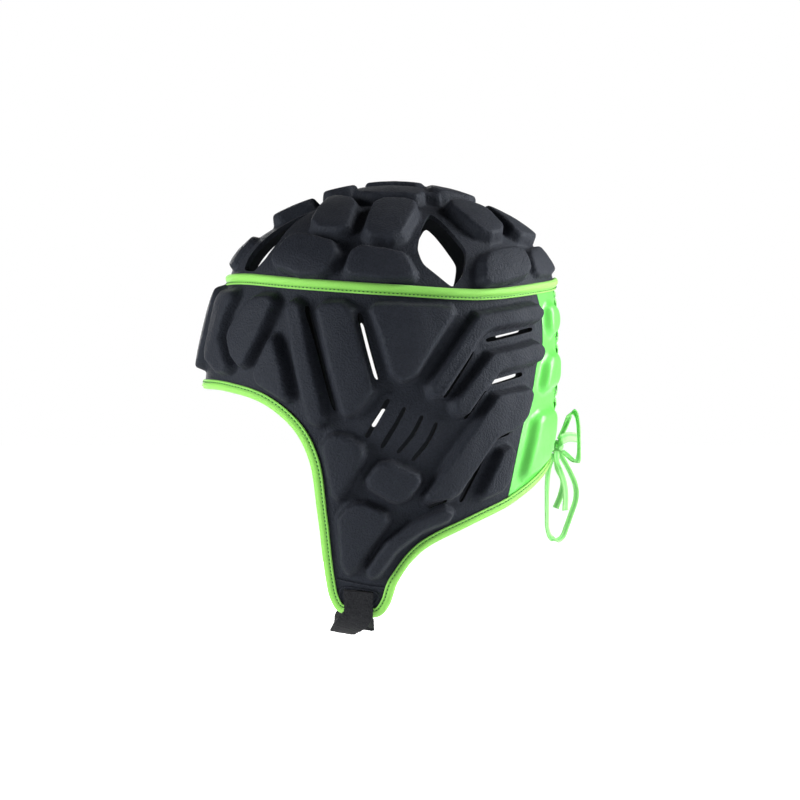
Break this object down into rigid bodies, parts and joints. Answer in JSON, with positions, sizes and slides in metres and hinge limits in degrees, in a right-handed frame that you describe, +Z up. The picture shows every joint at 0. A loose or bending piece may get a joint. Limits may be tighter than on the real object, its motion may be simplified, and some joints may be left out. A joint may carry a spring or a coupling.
{
  "type": "padded head guard",
  "caption": "Soft rugby head guard: moulded foam crown and side shell with raised pads, vents and ear slits, green bound edges, laced rear panels and a chin strap.",
  "frame": {"origin": "inside of the crown's top, where the guard sits on the wearer's head", "axes": "+Z up, the face opening towards -Y, the wearer's left towards +X"},
  "size_m": [0.1782, 0.2376, 0.2787],
  "materials": {
    "black_foam": "fine knit over moulded foam, soft sheen",
    "green_foam": "smooth stretch cloth over foam, satin",
    "green_tape": "knitted binding tape, matt",
    "black_strap": "webbing with looped pile, matt",
    "green_lace": "flat braided lace, matt"
  },
  "bodies": {
    "root": {"crown": "black_foam", "side_shell": "black_foam", "rear_panel_left": "green_foam", "rear_panel_right": "green_foam", "crown_band": "green_tape", "face_binding": "green_tape", "nape_binding_left": "green_tape", "nape_binding_right": "green_tape", "chin_strap_left": "black_strap", "chin_strap_right": "black_strap", "lace_bar": "green_lace", "lace_cross_1": "green_lace", "lace_cross_2": "green_lace", "lace_cross_3": "green_lace", "lace_cross_4": "green_lace", "lace_cross_5": "green_lace", "lace_cross_6": "green_lace", "lace_end_left": "green_lace", "lace_end_right": "green_lace", "lace_knot": "green_lace", "lace_loop_upper": "green_lace", "lace_loop_lower": "green_lace", "lace_tail_long": "green_lace", "lace_tail_short": "green_lace"}
  },
  "joints": []
}
